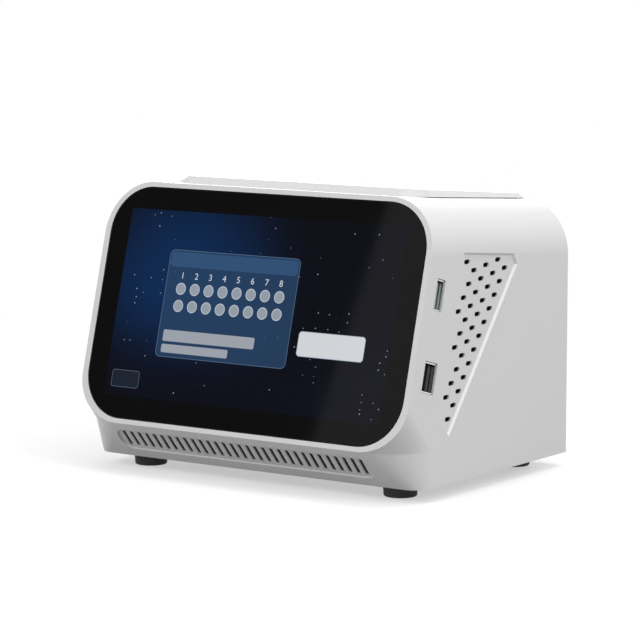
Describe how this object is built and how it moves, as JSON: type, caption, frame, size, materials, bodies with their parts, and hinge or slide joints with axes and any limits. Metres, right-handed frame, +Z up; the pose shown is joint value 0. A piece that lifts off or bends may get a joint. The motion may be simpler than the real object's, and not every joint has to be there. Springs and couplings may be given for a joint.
{
  "type": "real-time PCR instrument",
  "caption": "Compact bench instrument with a sloping touch screen, ventilated chin and side grille, and a hinged rear lid over a heated sample block.",
  "frame": {"origin": "centre of the whole object's footprint box, on the surface it stands on", "axes": "+X to the object's right hand side as seen by a person facing the screen, -Y towards that person, +Z up"},
  "size_m": [0.1834, 0.141, 0.1355],
  "materials": {
    "white_shell": "moulded, softly glossy",
    "white_lid": "moulded, glossy",
    "grey_plastic": "fine satin",
    "white_plastic": "moulded nylon",
    "black_plastic": "matt",
    "black_glass": "polished, printed black behind",
    "screen": "liquid crystal panel",
    "board": "green solder mask",
    "chip": "moulded",
    "steel": "zinc plated",
    "bright_steel": "ground and plated",
    "aluminium": "milled",
    "dark_aluminium": "black anodised",
    "brass": "turned",
    "rubber": "matt",
    "ceramic": "white ceramic",
    "lens": "coated lens",
    "seal": "silicone",
    "fibre": "fibre washer"
  },
  "bodies": {
    "housing": {"clamp_screws": "steel", "frame_screws": "steel", "frame_nuts": "steel", "sink_screws": "steel", "liner_screws": "steel", "motor_screws": "steel", "board_connectors": "white_plastic", "supply_board": "board", "base_plate": "grey_plastic", "base_screws": "steel", "bay_liner": "grey_plastic", "block_seal": "seal", "board_chips": "chip", "board_screws": "steel", "board_spacers": "brass", "display_bracket": "steel", "display_screws": "steel", "display_spacers": "fibre", "fan_frame": "black_plastic", "fan_screws": "steel", "foot_nuts": "steel", "foot_screws": "steel", "glass_tape": "fibre", "heat_sink": "aluminium", "hinge_lugs": "grey_plastic", "hinge_pin": "bright_steel", "housing_shell": "white_shell", "inlet_blades": "brass", "lcd_panel": "screen", "left_frame": "steel", "main_board": "board", "optics_plate": "aluminium", "panel_screws": "steel", "peltier_coolers": "ceramic", "port_board": "board", "power_inlet": "black_plastic", "power_supply": "steel", "rail_rods": "bright_steel", "rear_panel": "white_shell", "right_frame": "steel", "rubber_feet": "rubber", "sample_block": "aluminium", "screw_bearing": "brass", "stepper_motor": "steel", "switch_frame": "black_plastic", "touch_glass": "black_glass", "usb_shell": "bright_steel", "usb_tongue": "ceramic", "video_shell": "bright_steel", "video_tongue": "black_plastic"},
    "lid": {"lid_cover": "white_lid", "lid_inner_cover": "grey_plastic", "guide_pins": "bright_steel", "plate_springs": "bright_steel"},
    "hot_plate": {"heated_plate": "dark_aluminium"},
    "rocker": {"power_rocker": "black_plastic"},
    "fan_wheel": {"fan_rotor": "black_plastic"},
    "carriage": {"optics_carriage": "dark_aluminium", "optics_lens": "lens"},
    "drive_screw": {"lead_screw": "bright_steel"}
  },
  "joints": [
    {"name": "lid_hinge", "type": "hinge", "parent": "housing", "child": "lid", "pos_m": [0, 0.063, 0.12477], "axis": [-1, 0, 0], "range_deg": [0, 80]},
    {"name": "plate_press", "type": "slide", "parent": "lid", "child": "hot_plate", "axis": [0, 0, 1], "range_m": [0, 0.0018], "stiffness_N_per_m": 800, "springref_m": -0.005, "deforming": ["plate_springs"]},
    {"name": "power_rocker", "type": "hinge", "parent": "housing", "child": "rocker", "pos_m": [-0.052, 0.0649, 0.074], "axis": [1, 0, 0], "range_deg": [-18, 0]},
    {"name": "fan_spin", "type": "hinge", "parent": "housing", "child": "fan_wheel", "pos_m": [0, 0.0575, 0.058], "axis": [0, 1, 0], "continuous": true},
    {"name": "scan_slide", "type": "slide", "parent": "housing", "child": "carriage", "axis": [1, 0, 0], "range_m": [0, 0.063]},
    {"name": "screw_turn", "type": "hinge", "parent": "housing", "child": "drive_screw", "pos_m": [0, -0.0215, 0.092], "axis": [1, 0, 0], "range_deg": [-5, 4545]}
  ],
  "couplings": [
    {"joint": "screw_turn", "follows": "scan_slide", "rad_per_m": 1256.6}
  ]
}
